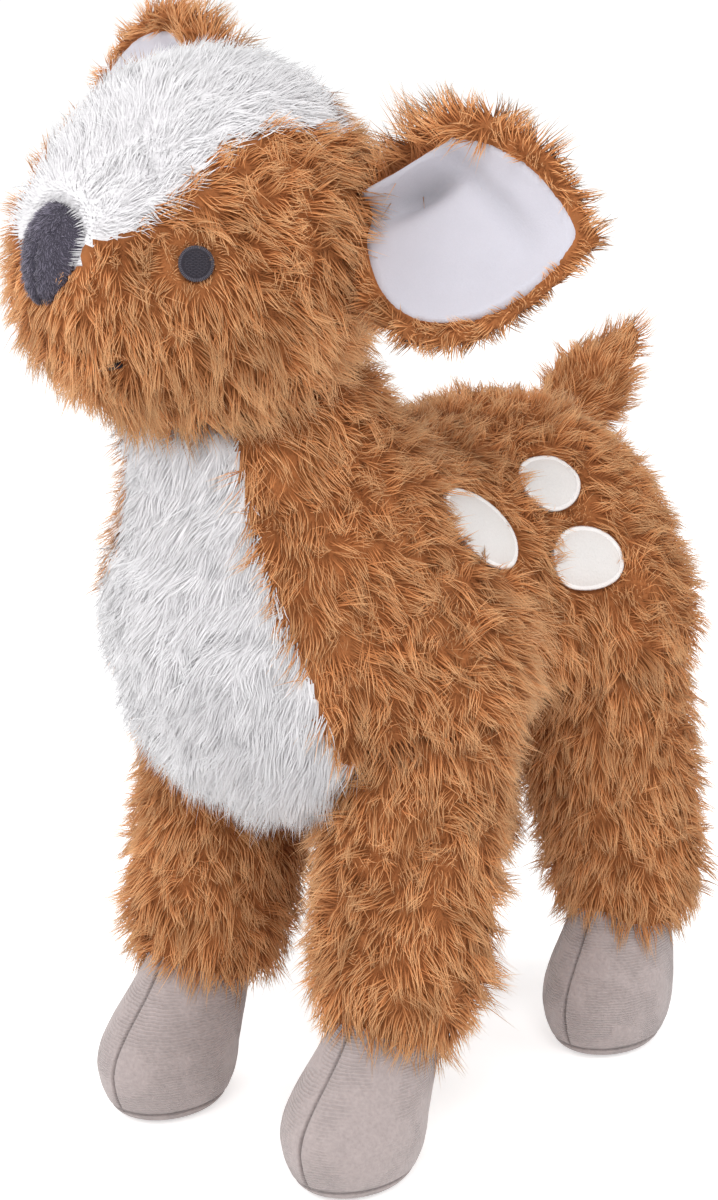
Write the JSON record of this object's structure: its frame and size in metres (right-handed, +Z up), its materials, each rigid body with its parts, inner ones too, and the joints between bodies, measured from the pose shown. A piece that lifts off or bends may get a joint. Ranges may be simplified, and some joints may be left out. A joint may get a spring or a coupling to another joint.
{
  "type": "plush deer toy",
  "caption": "Standing long-pile plush fawn with a white bib and forehead blaze, velour hooves and nose, lined ears and stitched spots on its haunches.",
  "frame": {"origin": "on the ground, under the middle of the deer's bounding box", "axes": "+Z up; the body faces -Y and the deer's left side is +X; the head is turned to the deer's right"},
  "size_m": [0.1724, 0.2122, 0.2757],
  "materials": {
    "brown_plush": "long soft pile, light at the tips",
    "white_plush": "dense white pile",
    "white_velour": "short smooth velour",
    "grey_velour": "short dark grey velour",
    "hoof_velour": "short beige grey velour",
    "dark_thread": "satin stitched thread",
    "white_thread": "satin stitched thread",
    "polyester_fill": "loose fibre filling"
  },
  "bodies": {
    "torso": {"body_side_left": "brown_plush", "body_side_right": "brown_plush", "chest_bib": "white_plush", "belly_gusset": "brown_plush", "body_stuffing": "polyester_fill", "spot_upper_left": "white_velour", "spot_upper_left_edge": "white_thread", "spot_front_left": "white_velour", "spot_front_left_edge": "white_thread", "spot_rear_left": "white_velour", "spot_rear_left_edge": "white_thread", "spot_upper_right": "white_velour", "spot_upper_right_edge": "white_thread", "spot_front_right": "white_velour", "spot_front_right_edge": "white_thread", "spot_rear_right": "white_velour", "spot_rear_right_edge": "white_thread"},
    "neck": {"neck_stuffing_ball": "polyester_fill"},
    "head": {"face_side_left": "brown_plush", "face_side_right": "brown_plush", "forehead_blaze": "white_plush", "crown_gusset": "brown_plush", "chin_gusset": "brown_plush", "head_stuffing": "polyester_fill", "nose": "grey_velour", "eye_left": "dark_thread", "eye_right": "dark_thread", "mouth_stitch": "dark_thread"},
    "ear_left": {"ear_back_left": "brown_plush", "ear_lining_left": "white_velour"},
    "ear_right": {"ear_back_right": "brown_plush", "ear_lining_right": "white_velour"},
    "tail": {"tail": "brown_plush"},
    "front_leg_left": {"front_leg_left_cover": "brown_plush", "front_leg_left_stuffing": "polyester_fill", "front_leg_left_hoof": "hoof_velour"},
    "front_leg_right": {"front_leg_right_cover": "brown_plush", "front_leg_right_stuffing": "polyester_fill", "front_leg_right_hoof": "hoof_velour"},
    "rear_leg_left": {"rear_leg_left_cover": "brown_plush", "rear_leg_left_stuffing": "polyester_fill", "rear_leg_left_hoof": "hoof_velour"},
    "rear_leg_right": {"rear_leg_right_cover": "brown_plush", "rear_leg_right_stuffing": "polyester_fill", "rear_leg_right_hoof": "hoof_velour"}
  },
  "joints": [
    {"name": "head_turn", "type": "hinge", "parent": "torso", "child": "neck", "pos_m": [-0.00635, -0.0524, 0.1935], "axis": [0, 0, 1], "range_deg": [-20, 20], "stiffness_Nm_per_rad": 0.3},
    {"name": "head_nod", "type": "hinge", "parent": "neck", "child": "head", "pos_m": [-0.00635, -0.0524, 0.1935], "axis": [0.9659, -0.2588, 0], "range_deg": [-8, 8], "stiffness_Nm_per_rad": 0.6},
    {"name": "ear_left_flap", "type": "hinge", "parent": "head", "child": "ear_left", "pos_m": [0.02894, -0.05222, 0.23211], "axis": [-0.069, 0.285, 0.956], "range_deg": [-18, 18], "stiffness_Nm_per_rad": 0.06},
    {"name": "ear_right_flap", "type": "hinge", "parent": "head", "child": "ear_right", "pos_m": [-0.03236, -0.0358, 0.2456], "axis": [0.3039, 0.3229, 0.8963], "range_deg": [-18, 18], "stiffness_Nm_per_rad": 0.06},
    {"name": "tail_swing", "type": "hinge", "parent": "torso", "child": "tail", "pos_m": [-0.00635, 0.0696, 0.1645], "axis": [1, 0, 0], "range_deg": [-20, 20], "stiffness_Nm_per_rad": 0.06},
    {"name": "front_left_hip", "type": "hinge", "parent": "torso", "child": "front_leg_left", "pos_m": [0.02265, -0.0234, 0.1125], "axis": [1, 0, 0], "range_deg": [-12, 12], "stiffness_Nm_per_rad": 0.8},
    {"name": "front_right_hip", "type": "hinge", "parent": "torso", "child": "front_leg_right", "pos_m": [-0.03535, -0.0234, 0.1125], "axis": [1, 0, 0], "range_deg": [-12, 12], "stiffness_Nm_per_rad": 0.8},
    {"name": "rear_left_hip", "type": "hinge", "parent": "torso", "child": "rear_leg_left", "pos_m": [0.02265, 0.0476, 0.1125], "axis": [1, 0, 0], "range_deg": [-12, 12], "stiffness_Nm_per_rad": 0.8},
    {"name": "rear_right_hip", "type": "hinge", "parent": "torso", "child": "rear_leg_right", "pos_m": [-0.03535, 0.0476, 0.1125], "axis": [1, 0, 0], "range_deg": [-12, 12], "stiffness_Nm_per_rad": 0.8}
  ]
}
